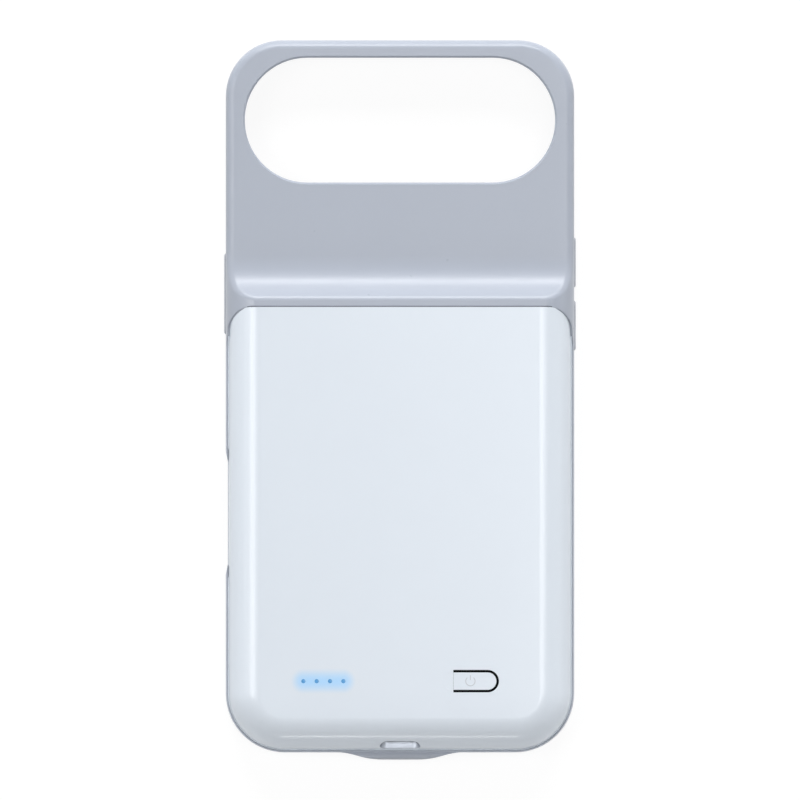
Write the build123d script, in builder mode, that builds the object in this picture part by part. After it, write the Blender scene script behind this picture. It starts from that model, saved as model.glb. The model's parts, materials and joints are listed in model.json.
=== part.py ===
from build123d import *
import os
from math import cos, radians, sin, tan

# Battery charging case lying on its front lip, pack upward: X across, Y along, Z up, millimetres.
# Origin: middle of the footprint, on the plane of the lip.

os.makedirs("parts", exist_ok=True)

# Sides of the smallest round pieces: light posts, plunger and wires
small_sides = 8

# Pocket and the soft walls round it
pocket_width = 75.1
pocket_length = 156.6
pocket_depth = 5.8
pocket_corner = 10.85
side_wall = 1.75
top_wall = 1.75
bottom_wall = 2.3
bottom_corner = 13.3
lip_thickness = 1.0
lip_overhang = 1.2
front_edge = 0.8

# Back plate, its window and the ramp that climbs from the plate to the pack
plate_thickness = 2.5
plate_edge_round = 2.0
edge_join = 10.0
window_width = 70.0
window_height = 28.15
window_from_top = 18.05
window_edge = 0.4
ramp_angle = 47.0
ramp_foot_radius = 12.0
ramp_crest_radius = 2.1
shoulder_strip = 1.1
roof_turn = 75.0

# Pack: mid plate, cell stack and glossy cover
tray_thickness = 0.8
adhesive_thickness = 0.15
cell_thickness = 4.5
foam_thickness = 0.5
foam_gap = 0.15
cover_wall = 1.3
shoulder_drop = 0.3
pack_round = 7.5
inner_slant = 3.7
pack_top_corner = 5.4
rim_wall = 0.45
rim_height = 0.4
pack_gap = 0.1
rim_end_radius = 3.5
tongue_width = 60.0
tongue_depth = 2.0
tongue_gap = 0.1
rib_inset = 0.55
rib_thickness = 0.8
rib_height = 1.2

# Bottom bulge that covers the plug, and the slots beside it
bulge_depth = 1.65
bulge_flat = 7.4
bulge_base = 31.0
bulge_height = 7.4
bulge_round = 2.2
bulge_root = 0.15
sound_slot_length = 9.0
sound_slot_height = 2.0
sound_slot_offset = 21.0

# Finger notch in the left wall
notch_from_top = 106.6
notch_length = 28.2
notch_flank = 2.6
notch_lip_depth = 0.55
notch_slot_length = 21.0
notch_slot_height = 4.2
notch_sill = 0.7

# Side keys
key_height = 2.8
key_proud = 0.35
key_edge = 0.3
key_gap = 0.12
key_flange = 0.5
key_flange_thickness = 0.4
key_pocket_depth = 0.8
key_seat_gap = 0.05
side_key_length = 18.3
side_key_from_top = 57.2
volume_key_length = 11.3
volume_up_from_top = 50.1
volume_down_from_top = 64.35

# Power button: a tongue of the cover in a U slot, with the row of lights beside it
controls_from_bottom = 16.2
button_root_x = 12.0
button_centre_x = 19.75
button_slot_radius = 2.53
button_slot = 0.58
button_root_gap = 0.04
gasket_fit = 0.02
gasket_clear = 0.08
gasket_below = 0.25
switch_x = 19.0
boss_diameter = 1.8
boss_gap = 0.05
led_pitch = 3.0
led_row_x = -17.25
led_count = 4
guide_diameter = 0.9
guide_fit = 0.05
guide_below = 0.04
guide_bar_height = 0.7
guide_bar_width = 1.8

# Charging port in the cover's bottom end
port_height_z = 10.2
port_width = 8.94
port_height = 3.26
port_wall = 0.3
port_length = 7.3
port_fit = 0.1
port_recess = 2.2
port_collar = 1.1
collar_gap = 0.3
port_base = 1.6
port_tongue_width = 6.65
port_tongue_thickness = 0.7
port_tongue_back = 0.6
port_wing = 1.2
port_wing_length = 1.6
port_wing_thickness = 0.25
contact_pitch = 0.75
contact_width = 0.32
contact_thickness = 0.06
contact_count = 8
port_contact_length = 3.2

# Plug that stands in the pocket, with its carrier, board and flat cable
plug_width = 8.25
plug_height = 2.4
plug_wall = 0.25
plug_reach = 6.4
plug_fit = 0.03
plug_mouth_width = 6.9
plug_mouth_height = 0.85
plug_mouth_depth = 5.4
plug_contact_length = 3.0
carrier_width = 20.6
carrier_height = 4.6
carrier_depth = 2.0
carrier_fit = 0.1
plug_board_width = 18.6
plug_board_depth = 0.6
plug_board_height = 3.4
cable_x = 7.9
cable_width = 3.6
cable_thickness = 0.2
cable_bend = 0.6
cable_gap = 0.3
cable_inset = 0.95
cable_foot = 1.2
cable_lift = 0.25
cable_run = 2.1
cable_landing = 2.8

# Cell and main board
cell_width = 64.0
cell_length = 64.0
cell_corner = 1.5
cell_top_gap = 1.6
terrace_gap = 6.0
pad_margin = 3.0
terrace_length = 4.2
terrace_thickness = 1.0
terrace_margin = 2.0
tab_width = 4.0
tab_length = 3.0
tab_thickness = 0.2
tab_spread = 18.0
guard_width = 44.0
guard_length = 3.4
guard_thickness = 0.8
lead_diameter = 1.2
lead_spread = 8.0
lead_grip = 2.2
board_width = 60.0
board_length = 19.5
board_thickness = 0.8
board_corner = 3.0
board_bottom_gap = 2.0
rest_width = 4.0
rest_lip = 1.0
rest_fit = 0.1
chip_width = 4.0
chip_height = 0.9
chip_x = 8.5
inductor_width = 6.0
inductor_corner = 1.0
inductor_height = 1.9
inductor_x = -2.0
capacitor_length = 1.6
capacitor_width = 0.9
capacitor_pitch = 1.6
capacitor_count = 4
capacitor_x = 3.6
led_width = 1.6
led_depth = 0.8
led_height = 0.5
switch_width = 3.6
switch_height = 1.35
plunger_diameter = 1.6
plunger_fit = 0.1
plunger_depth = 0.5
plunger_height = 0.45
plunger_room = 0.45

# Levels
pocket_roof = lip_thickness + pocket_depth
pocket_middle = lip_thickness + pocket_depth / 2
plate_top = pocket_roof + plate_thickness
tray_top = pocket_roof + tray_thickness
cell_base = tray_top + adhesive_thickness
cell_top = cell_base + cell_thickness
cover_inside = cell_top + foam_thickness + foam_gap
pack_top = cover_inside + cover_wall
shoulder_top = pack_top - shoulder_drop
rim_top = tray_top + rim_height

# Plan positions
outer_width = pocket_width + 2 * side_wall
outer_length = pocket_length + top_wall + bottom_wall
outer_corner = pocket_corner + side_wall
top_y = (outer_length + bulge_depth) / 2
bottom_y = top_y - outer_length
body_mid_y = (top_y + bottom_y) / 2
pocket_low_y = bottom_y + bottom_wall
pocket_mid_y = pocket_low_y + pocket_length / 2
side_x = outer_width / 2
pocket_side_x = pocket_width / 2
cover_half = side_x - rim_wall - pack_gap
cover_low_y = bottom_y + rim_wall + pack_gap
board_low_y = cover_low_y + cover_wall + board_bottom_gap
board_top_y = board_low_y + board_length
board_mid_y = (board_low_y + board_top_y) / 2
cell_low_y = board_top_y + terrace_gap + terrace_length
cell_top_y = cell_low_y + cell_length
cover_top_y = cell_top_y + cell_top_gap + cover_wall
pack_low_corner = bottom_corner - rim_wall - pack_gap
window_y = top_y - window_from_top
controls_y = bottom_y + controls_from_bottom
notch_y = top_y - notch_from_top
board_base = port_height_z - board_thickness / 2
board_top = port_height_z + board_thickness / 2
port_mouth_y = cover_low_y + port_recess
port_back_y = port_mouth_y + port_length
plug_tip_y = pocket_low_y + plug_reach
plug_back_y = pocket_low_y - carrier_depth + plug_board_depth
cable_y = cover_low_y + cable_inset
led_places = [(led_row_x + (i - (led_count - 1) / 2) * led_pitch, controls_y) for i in range(led_count)]
bottom_plane = Plane((0, pocket_low_y, pocket_middle), x_dir=(1, 0, 0), z_dir=(0, -1, 0))
beyond = 2 * outer_width


def pack_outline(grow):
    """Plan of the pack, grown on every side: tight corners at its top end, wide ones at the bottom."""
    top = cover_top_y + grow
    low = cover_low_y - grow
    with BuildSketch() as outline:
        with Locations((0, (top + low) / 2)):
            Rectangle(2 * (cover_half + grow), top - low)
        fillet(outline.vertices().group_by(Axis.Y)[-1], pack_top_corner + grow)
        fillet(outline.vertices().group_by(Axis.Y)[0], pack_low_corner + grow)
    return outline.sketch


def pack_form(inset):
    """Solid of the pack above the mid plate, cut square at its top end: round along the sides and the bottom
    end outside, slanted there inside."""
    low = cover_low_y + inset
    high = cover_top_y + 2 * bottom_corner
    with BuildPart() as form:
        with BuildSketch(Plane.XY.offset(pack_top - pack_round - cover_wall)):
            with Locations((0, (low + high) / 2)):
                RectangleRounded(2 * (cover_half - inset), high - low, pack_low_corner - inset)
        extrude(amount=pack_round + cover_wall - inset)
        upper_edges = form.faces().sort_by(Axis.Z)[-1].edges()
        if inset:
            chamfer(upper_edges, inner_slant)
        else:
            fillet(upper_edges, pack_round)
        with BuildSketch(Plane.XY.offset(tray_top)):
            add(pack_outline(-inset))
        extrude(amount=pack_top, mode=Mode.INTERSECT)
    return form.part


def button_outline(radius, root_x):
    """Plan of the power button's tongue: straight sides from its root, half round at its free end."""
    with BuildSketch() as outline:
        with Locations(((root_x + button_centre_x) / 2, controls_y)):
            Rectangle(button_centre_x - root_x, 2 * radius)
        with Locations((button_centre_x, controls_y)):
            Circle(radius)
    return outline.sketch


def notch_outline(depth):
    """Plan of the finger notch in the left wall: a flat scoop with slanted flanks."""
    with BuildSketch() as outline:
        with BuildLine():
            Polyline(
                (-side_x - depth, notch_y + notch_length / 2),
                (-side_x, notch_y + notch_length / 2),
                (-side_x + depth, notch_y + notch_length / 2 - notch_flank),
                (-side_x + depth, notch_y - notch_length / 2 + notch_flank),
                (-side_x, notch_y - notch_length / 2),
                (-side_x - depth, notch_y - notch_length / 2),
                close=True,
            )
        make_face()
    return outline.sketch


def key_plane(side, from_top):
    """Plane on the pocket's side wall at a key's middle, facing outward."""
    return Plane((side * pocket_side_x, top_y - from_top, pocket_middle), x_dir=(0, 1, 0), z_dir=(side, 0, 0))


def side_key_form(plane, length):
    """Key seen from outside: a flange behind the wall, and a cap that reaches through its window."""
    flange_face = key_pocket_depth - key_seat_gap
    with BuildPart() as key:
        with BuildSketch(plane.offset(flange_face - key_flange_thickness)):
            Rectangle(length + 2 * key_flange, key_height + 2 * key_flange)
        extrude(amount=key_flange_thickness)
        with BuildSketch(plane.offset(flange_face)):
            SlotOverall(length, key_height)
        extrude(amount=side_wall + key_proud - flange_face)
        chamfer(key.faces().sort_by(Axis(plane.origin, plane.z_dir))[-1].edges(), key_edge)
    return key


def contact_row(plane, length):
    """One row of flat contacts, side by side on a plane, centred on its origin."""
    with BuildPart() as row:
        with BuildSketch(plane):
            with GridLocations(contact_pitch, length, contact_count, 1):
                Rectangle(contact_width, length)
        extrude(amount=contact_thickness)
    return row.part


# Bumper frame: bottom bulge, an S curve in plan with a rounded back
with BuildPart() as bulge:
    with BuildSketch():
        with BuildLine():
            root_left = (-bulge_base / 2, bottom_y + bulge_root)
            flat_left = (-bulge_flat / 2, bottom_y - bulge_depth)
            flat_right = (bulge_flat / 2, bottom_y - bulge_depth)
            root_right = (bulge_base / 2, bottom_y + bulge_root)
            mid_left = ((root_left[0] + flat_left[0]) / 2, (root_left[1] + flat_left[1]) / 2)
            mid_right = (-mid_left[0], mid_left[1])
            TangentArc(root_left, mid_left, tangent=(1, 0))
            TangentArc(flat_left, mid_left, tangent=(-1, 0))
            Line(flat_left, flat_right)
            TangentArc(flat_right, mid_right, tangent=(1, 0))
            TangentArc(root_right, mid_right, tangent=(-1, 0))
            Polyline(
                root_right,
                (root_right[0], bottom_y + bottom_wall / 2),
                (root_left[0], bottom_y + bottom_wall / 2),
                root_left,
            )
        make_face()
    extrude(amount=bulge_height)
    with BuildSketch(Plane.YZ) as bulge_side:
        with Locations((bottom_y - bulge_depth, 0)):
            Rectangle(bulge_depth + bottom_wall, bulge_height, align=(Align.MIN, Align.MIN))
        fillet(bulge_side.vertices().group_by(Axis.X)[0].sort_by(Axis.Y)[-1], bulge_round)
        chamfer(bulge_side.vertices().group_by(Axis.X)[0].sort_by(Axis.Y)[0], front_edge)
    extrude(amount=bulge_base, both=True, mode=Mode.INTERSECT)

# Bumper frame: ramp line from crest to foot
ramp = radians(ramp_angle)
crest_y = cover_top_y + pack_gap + shoulder_strip
bend_rise = (ramp_foot_radius + ramp_crest_radius) * (1 - cos(ramp))
slope_run = (shoulder_top - plate_top - bend_rise) / tan(ramp)
foot_y = crest_y + (ramp_foot_radius + ramp_crest_radius) * sin(ramp) + slope_run
rim_end_y = cover_top_y - pack_top_corner - rim_end_radius
keys = [
    (-1, side_key_from_top, side_key_length),
    (1, volume_up_from_top, volume_key_length),
    (1, volume_down_from_top, volume_key_length),
]


def rounded_block(low_y, high_y, height, corner):
    """Stretch of the soft body between two cuts across it, with the pack's rounding and a level top."""
    with BuildPart() as block:
        with BuildSketch():
            with Locations((0, body_mid_y)):
                RectangleRounded(outer_width, outer_length, corner)
        extrude(amount=shoulder_top)
        fillet(block.faces().sort_by(Axis.Z)[-1].edges(), pack_round)
        chamfer(block.faces().sort_by(Axis.Z)[0].edges(), front_edge)
        with BuildSketch():
            with Locations((0, (low_y + high_y) / 2)):
                Rectangle(beyond, high_y - low_y)
        extrude(amount=height, mode=Mode.INTERSECT)
    return block.part


# Bumper frame: lower end beside the pack, and upper end with a soft edge round its plate
seat_y = rim_end_y - edge_join
join_y = foot_y + edge_join
lower_end = rounded_block(bottom_y, seat_y, rim_top, bottom_corner)
upper_block = rounded_block(join_y, top_y, plate_top, outer_corner)
with BuildPart() as upper_end:
    add(upper_block)
    plate_edges = upper_end.faces().sort_by(Axis.Z)[-1].edges()
    fillet(plate_edges.filter_by(Axis.X, reverse=True), plate_edge_round)

# Bumper frame: ramp between the two ends, its sides rounded as theirs are up to a slanted roof
with BuildPart() as ramp_body:
    with BuildSketch(Plane.XZ.offset(-join_y)):
        with BuildLine():
            side_arc = JernArc((side_x, shoulder_top - pack_round), (0, 1), pack_round, roof_turn)
            roof_end = side_arc @ 1
            Polyline(
                roof_end,
                (0, roof_end.Y + roof_end.X / tan(radians(roof_turn))),
                (0, 0),
                (side_x - front_edge, 0),
                (side_x, front_edge),
                side_arc @ 0,
            )
        make_face()
        mirror(about=Plane.YZ)
    extrude(amount=join_y - seat_y)
    # Everything above shoulder, ramp and plate is taken away
    with BuildSketch(Plane.YZ):
        with BuildLine():
            crest = JernArc((crest_y, shoulder_top), (1, 0), ramp_crest_radius, -ramp_angle)
            foot = JernArc((foot_y, plate_top), (-1, 0), ramp_foot_radius, -ramp_angle)
            Line(crest @ 1, foot @ 1)
            Polyline(
                foot @ 0,
                (join_y + beyond, plate_top),
                (join_y + beyond, shoulder_top + beyond),
                (seat_y - beyond, shoulder_top + beyond),
                (seat_y - beyond, shoulder_top),
                crest @ 0,
            )
        make_face()
    extrude(amount=beyond, both=True, mode=Mode.SUBTRACT)
    # The soft edge of the plate goes on up the ramp's sides
    plate_edges = ramp_body.edges().filter_by_position(Axis.Z, plate_top, plate_top)
    fillet(plate_edges.filter_by(Axis.X, reverse=True), plate_edge_round)

with BuildPart() as bumper_frame:
    add(lower_end)
    add(ramp_body.part)
    add(upper_end.part)
    add(bulge.part)
    # Room for the pack above the mid plate
    with BuildSketch(Plane.XY.offset(tray_top)):
        add(pack_outline(pack_gap))
    extrude(amount=pack_top, mode=Mode.SUBTRACT)
    # Rim beside the pack, cut level, with a curve up to the shoulder
    with BuildSketch(Plane.YZ):
        with BuildLine():
            rim_end = JernArc((rim_end_y, rim_top), (1, 0), rim_end_radius, 90)
            Polyline(
                rim_end @ 1,
                (rim_end_y + rim_end_radius, pack_top + beyond),
                (bottom_y - beyond, pack_top + beyond),
                (bottom_y - beyond, rim_top),
                rim_end @ 0,
            )
        make_face()
    extrude(amount=beyond, both=True, mode=Mode.SUBTRACT)
    # Seat of the mid plate with the slot for its tongue
    with BuildSketch(Plane.XY.offset(pocket_roof)):
        add(pack_outline(pack_gap))
        with Locations((0, cover_top_y)):
            Rectangle(tongue_width + 2 * tongue_gap, 2 * (tongue_depth + tongue_gap))
    extrude(amount=tray_thickness, mode=Mode.SUBTRACT)
    # Pocket and its mouth
    with BuildSketch(Plane.XY.offset(lip_thickness)):
        with Locations((0, pocket_mid_y)):
            RectangleRounded(pocket_width, pocket_length, pocket_corner)
    extrude(amount=pocket_depth, mode=Mode.SUBTRACT)
    with BuildSketch():
        with Locations((0, pocket_mid_y)):
            RectangleRounded(
                pocket_width - 2 * lip_overhang,
                pocket_length - 2 * lip_overhang,
                pocket_corner - lip_overhang,
            )
    extrude(amount=lip_thickness, mode=Mode.SUBTRACT)
    # Window in the plate
    with BuildSketch(Plane.XY.offset(pocket_roof)):
        with Locations((0, window_y)):
            SlotOverall(window_width, window_height)
    extrude(amount=plate_thickness, mode=Mode.SUBTRACT)
    window_edges = bumper_frame.edges(Select.LAST).filter_by_position(Axis.Z, plate_top, plate_top)
    chamfer(window_edges, window_edge)
    # Windows of the keys and the pockets of their flanges
    for side, from_top, length in keys:
        with BuildSketch(key_plane(side, from_top)):
            SlotOverall(length + 2 * key_gap, key_height + 2 * key_gap)
        extrude(amount=2 * side_wall, mode=Mode.SUBTRACT)
        with BuildSketch(key_plane(side, from_top)):
            Rectangle(length + 2 * (key_flange + key_gap), key_height + 2 * (key_flange + key_gap))
        extrude(amount=key_pocket_depth, mode=Mode.SUBTRACT)
    # Finger notch: a scoop down the wall, shallower at the lip, with a slot through it
    notch_low = pocket_middle - notch_slot_height / 2 - notch_sill
    with BuildSketch():
        add(notch_outline(notch_lip_depth))
    extrude(amount=notch_low, mode=Mode.SUBTRACT)
    with BuildSketch(Plane.XY.offset(notch_low)):
        add(notch_outline(rim_wall + pack_gap / 2))
    extrude(amount=pack_top, mode=Mode.SUBTRACT)
    with BuildSketch(key_plane(-1, notch_from_top)):
        SlotOverall(notch_slot_length, notch_slot_height)
    extrude(amount=2 * side_wall, mode=Mode.SUBTRACT)
    # Bottom wall: sound slots, pocket of the plug's carrier and the cable's way up
    with BuildSketch(bottom_plane):
        with Locations((-sound_slot_offset, 0), (sound_slot_offset, 0)):
            SlotOverall(sound_slot_length, sound_slot_height)
    extrude(amount=2 * bottom_wall, mode=Mode.SUBTRACT)
    with BuildSketch(bottom_plane):
        Rectangle(carrier_width + 2 * carrier_fit, carrier_height + 2 * carrier_fit)
    extrude(amount=carrier_depth + carrier_fit, mode=Mode.SUBTRACT)
    with BuildSketch(Plane.XY.offset(pocket_middle)):
        with Locations((cable_x, cable_y)):
            Rectangle(cable_width + 2 * cable_gap, cable_thickness + 2 * cable_gap)
    extrude(amount=pocket_roof - pocket_middle, mode=Mode.SUBTRACT)

# Keys
side_key = side_key_form(key_plane(*keys[0][:2]), side_key_length)
volume_up_key = side_key_form(key_plane(*keys[1][:2]), volume_key_length)
volume_down_key = side_key_form(key_plane(*keys[2][:2]), volume_key_length)

# Mid plate: floor of the pack, with a tongue under the shoulder and ribs inside the cover's sides
rib_x = cover_half - cover_wall - rib_inset - rib_thickness / 2
rib_low_y = cover_low_y + pack_low_corner
rib_high_y = cover_top_y - cover_wall - pack_top_corner
with BuildPart() as mid_plate:
    with BuildSketch(Plane.XY.offset(pocket_roof)):
        add(pack_outline(0))
        with Locations((0, cover_top_y)):
            Rectangle(tongue_width, 2 * tongue_depth)
        with Locations((cable_x, cover_low_y)):
            Rectangle(cable_width + 2 * cable_gap, 2 * (cable_inset + cable_gap), mode=Mode.SUBTRACT)
    extrude(amount=tray_thickness)
    with BuildSketch(Plane.XY.offset(tray_top)):
        with Locations((-rib_x, (rib_low_y + rib_high_y) / 2), (rib_x, (rib_low_y + rib_high_y) / 2)):
            Rectangle(rib_thickness, rib_high_y - rib_low_y)
    extrude(amount=rib_height)
    # Rests under the board's ends, each with a lip outside the end
    rest_x = board_width / 2 + rest_fit
    for side in (-1, 1):
        with BuildSketch(Plane.XY.offset(tray_top)):
            with Locations((side * (rest_x + rest_lip / 2), board_mid_y)):
                Rectangle(rest_lip, rest_width)
        extrude(amount=board_top - tray_top)
        with BuildSketch(Plane.XY.offset(tray_top)):
            with Locations((side * (rest_x - rest_lip / 2), board_mid_y)):
                Rectangle(rest_lip, rest_width)
        extrude(amount=board_base - tray_top)

# Back cover: rounded shell with the button's opening, the light holes and the port's collar
outer_form = pack_form(0)
inner_form = pack_form(cover_wall)
port_plane = Plane((0, cover_low_y, port_height_z), x_dir=(1, 0, 0), z_dir=(0, 1, 0))
collar_length = cover_wall + board_bottom_gap - collar_gap
with BuildPart() as collar:
    with BuildSketch(port_plane):
        SlotOverall(port_width + 2 * (port_fit + port_collar), port_height + 2 * (port_fit + port_collar))
    extrude(amount=collar_length)
    add(outer_form, mode=Mode.INTERSECT)

with BuildPart() as back_cover:
    add(outer_form)
    add(inner_form, mode=Mode.SUBTRACT)
    add(collar.part)
    with BuildSketch(port_plane):
        SlotOverall(port_width + 2 * port_fit, port_height + 2 * port_fit)
    extrude(amount=port_length, mode=Mode.SUBTRACT)
    with BuildSketch(Plane.XY.offset(cover_inside)):
        add(button_outline(button_slot_radius, button_root_x))
        with Locations(*led_places):
            RegularPolygon(guide_diameter / 2 + guide_fit, small_sides)
    extrude(amount=cover_wall, mode=Mode.SUBTRACT)
    with BuildSketch(Plane.XY.offset(tray_top)):
        with Locations((cable_x, cable_y)):
            Rectangle(cable_width + 2 * cable_gap, cable_thickness + 2 * cable_gap)
            Rectangle(cable_width + 2 * cable_gap, collar_length, align=(Align.CENTER, Align.MIN))
    extrude(amount=cable_lift + cable_thickness + cable_gap, mode=Mode.SUBTRACT)

# Power button: tongue with a boss over the switch, and the black gasket in its slot
plunger_top = board_top + switch_height + plunger_height
with BuildPart() as power_button:
    with BuildSketch(Plane.XY.offset(cover_inside)):
        add(button_outline(button_slot_radius - button_slot, button_root_x + button_root_gap))
    extrude(amount=cover_wall)
    with BuildSketch(Plane.XY.offset(plunger_top + boss_gap)):
        with Locations((switch_x, controls_y)):
            RegularPolygon(boss_diameter / 2, small_sides)
    extrude(amount=cover_inside - plunger_top - boss_gap)

with BuildPart() as button_gasket:
    with BuildSketch(Plane.XY.offset(cover_inside)):
        add(button_outline(button_slot_radius - gasket_fit, button_root_x + gasket_fit))
        gasket_inner = button_slot_radius - button_slot + gasket_clear
        add(button_outline(gasket_inner, button_root_x), mode=Mode.SUBTRACT)
    extrude(amount=cover_wall - gasket_below)

# Light guide: a bar glued under the cover with one post per light
with BuildPart() as light_guide:
    with BuildSketch(Plane.XY.offset(cover_inside - guide_bar_height)):
        with Locations((led_row_x, controls_y)):
            Rectangle((led_count - 1) * led_pitch + guide_bar_width, guide_bar_width)
    extrude(amount=guide_bar_height)
    with BuildSketch(Plane.XY.offset(cover_inside)):
        with Locations(*led_places):
            RegularPolygon(guide_diameter / 2, small_sides)
    extrude(amount=cover_wall - guide_below)

# Cell stack: the terrace carries tabs and protection board, level with the main board
guard_base = board_top - guard_thickness
terrace_top = guard_base - tab_thickness
terrace_base = terrace_top - terrace_thickness
with BuildPart() as battery_cell:
    with BuildSketch(Plane.XY.offset(cell_base)) as cell_plan:
        with Locations((0, (cell_top_y + cell_low_y) / 2)):
            Rectangle(cell_width, cell_length)
        chamfer(cell_plan.vertices(), cell_corner)
    extrude(amount=cell_thickness)
    with BuildSketch(Plane.XY.offset(terrace_base)):
        with Locations((0, cell_low_y + cell_corner)):
            Rectangle(
                cell_width - 2 * terrace_margin, terrace_length + cell_corner, align=(Align.CENTER, Align.MAX)
            )
    extrude(amount=terrace_thickness)

terrace_mid_y = cell_low_y - terrace_length / 2
with BuildPart() as cell_tabs:
    with BuildSketch(Plane.XY.offset(terrace_top)):
        with Locations((-tab_spread / 2, terrace_mid_y), (tab_spread / 2, terrace_mid_y)):
            Rectangle(tab_width, tab_length)
    extrude(amount=tab_thickness)

with BuildPart() as protection_board:
    with BuildSketch(Plane.XY.offset(guard_base)):
        with Locations((0, terrace_mid_y)):
            Rectangle(guard_width, guard_length)
    extrude(amount=guard_thickness)

with BuildPart() as cell_adhesive:
    with BuildSketch(Plane.XY.offset(tray_top)):
        with Locations((0, (cell_top_y + cell_low_y) / 2)):
            Rectangle(cell_width - 2 * pad_margin, cell_length - 2 * pad_margin)
    extrude(amount=adhesive_thickness)

with BuildPart() as cell_foam:
    with BuildSketch(Plane.XY.offset(cell_top)):
        with Locations((0, (cell_top_y + cell_low_y) / 2)):
            Rectangle(cell_width - 2 * pad_margin, cell_length - 2 * pad_margin)
    extrude(amount=foam_thickness)


def battery_lead(x):
    """Round wire lying straight across the tops of the protection board and the main board."""
    start_y = terrace_mid_y + lead_grip / 2
    lead_z = board_top + lead_diameter / 2
    with BuildPart() as lead:
        with BuildSketch(Plane((x, start_y, lead_z), x_dir=(1, 0, 0), z_dir=(0, -1, 0))):
            RegularPolygon(lead_diameter / 2, small_sides, major_radius=False, rotation=180 / small_sides)
        extrude(amount=start_y - board_top_y + lead_grip)
    return lead


lead_positive = battery_lead(lead_spread / 2)
lead_negative = battery_lead(-lead_spread / 2)

# Main board with its parts
with BuildPart() as main_board:
    with BuildSketch(Plane.XY.offset(board_base)) as board_plan:
        with Locations((0, board_mid_y)):
            Rectangle(board_width, board_length)
        chamfer(board_plan.vertices(), board_corner)
        port_cut = port_back_y + port_fit - board_low_y
        with Locations((0, board_low_y)):
            Rectangle(port_width + 2 * port_fit, 2 * port_cut, mode=Mode.SUBTRACT)
    extrude(amount=board_thickness)

with BuildPart() as charge_chip:
    with BuildSketch(Plane.XY.offset(board_top)):
        with Locations((chip_x, controls_y)):
            Rectangle(chip_width, chip_width)
    extrude(amount=chip_height)

with BuildPart() as boost_inductor:
    with BuildSketch(Plane.XY.offset(board_top)) as inductor_plan:
        with Locations((inductor_x, controls_y)):
            Rectangle(inductor_width, inductor_width)
        chamfer(inductor_plan.vertices(), inductor_corner)
    extrude(amount=inductor_height)

with BuildPart() as board_capacitors:
    with BuildSketch(Plane.XY.offset(board_top)):
        with Locations((capacitor_x, controls_y)):
            with GridLocations(capacitor_length, capacitor_pitch, 1, capacitor_count):
                Rectangle(capacitor_length, capacitor_width)
    extrude(amount=capacitor_width)

with BuildPart() as indicator_leds:
    with BuildSketch(Plane.XY.offset(board_top)):
        with Locations(*led_places):
            Rectangle(led_width, led_depth)
    extrude(amount=led_height)

with BuildPart() as tact_switch:
    with BuildSketch(Plane.XY.offset(board_top)):
        with Locations((switch_x, controls_y)):
            Rectangle(switch_width, switch_width)
    extrude(amount=switch_height)
    with BuildSketch(Plane.XY.offset(board_top + switch_height)):
        with Locations((switch_x, controls_y)):
            RegularPolygon(plunger_diameter / 2 + plunger_fit, small_sides)
    extrude(amount=-plunger_depth - plunger_room, mode=Mode.SUBTRACT)

with BuildPart() as switch_plunger:
    with BuildSketch(Plane.XY.offset(board_top + switch_height - plunger_depth)):
        with Locations((switch_x, controls_y)):
            RegularPolygon(plunger_diameter / 2, small_sides)
    extrude(amount=plunger_depth + plunger_height)

# Charging port: steel shell with wings on the board, and a tongue with contacts on both faces
port_back_plane = Plane((0, port_back_y, port_height_z), x_dir=(1, 0, 0), z_dir=(0, -1, 0))
with BuildPart() as charge_port_shell:
    with BuildSketch(port_back_plane):
        SlotOverall(port_width, port_height)
        SlotOverall(port_width - 2 * port_wall, port_height - 2 * port_wall, mode=Mode.SUBTRACT)
    extrude(amount=port_length)
    for side in (-1, 1):
        with BuildSketch(Plane.XY.offset(board_top)):
            with Locations((side * port_width / 2, port_back_y - port_wing_length)):
                Rectangle(2 * port_wing, port_wing_length)
        extrude(amount=port_wing_thickness)
    with BuildSketch(port_back_plane):
        SlotOverall(port_width - 2 * port_wall, port_height - 2 * port_wall)
    extrude(amount=port_length, mode=Mode.SUBTRACT)

tongue_tip_y = port_mouth_y + port_tongue_back
with BuildPart() as charge_port_tongue:
    with BuildSketch(port_back_plane):
        SlotOverall(port_width - 2 * port_wall, port_height - 2 * port_wall)
    extrude(amount=port_base)
    with BuildSketch(port_back_plane):
        Rectangle(port_tongue_width, port_tongue_thickness)
    extrude(amount=port_back_y - tongue_tip_y)

contact_mid_y = tongue_tip_y + port_contact_length / 2 + port_tongue_back
with BuildPart() as charge_port_contacts:
    for face in (1, -1):
        contact_z = port_height_z + face * port_tongue_thickness / 2
        contact_plane = Plane((0, contact_mid_y, contact_z), x_dir=(1, 0, 0), z_dir=(0, 0, face))
        add(contact_row(contact_plane, port_contact_length))

# Plug: carrier in the bottom wall, board behind it, steel shell, liner and contacts
with BuildPart() as plug_carrier:
    with BuildSketch(bottom_plane):
        Rectangle(carrier_width, carrier_height)
    extrude(amount=carrier_depth)
    with BuildSketch(bottom_plane.offset(carrier_depth)):
        Rectangle(plug_board_width + 2 * carrier_fit, plug_board_height + 2 * carrier_fit)
    extrude(amount=-plug_board_depth, mode=Mode.SUBTRACT)
    with BuildSketch(bottom_plane):
        SlotOverall(plug_width + 2 * plug_fit, plug_height + 2 * plug_fit)
    extrude(amount=carrier_depth, mode=Mode.SUBTRACT)
    with BuildSketch(Plane.XY.offset(pocket_middle - cable_foot - cable_gap)):
        with Locations((cable_x, plug_back_y)):
            Rectangle(
                cable_width + 2 * cable_gap, cable_y + cable_thickness + cable_gap - plug_back_y,
                align=(Align.CENTER, Align.MIN),
            )
    extrude(amount=carrier_height, mode=Mode.SUBTRACT)

with BuildPart() as plug_board:
    with BuildSketch(bottom_plane.offset(carrier_depth)):
        Rectangle(plug_board_width, plug_board_height)
    extrude(amount=-plug_board_depth)

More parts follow.
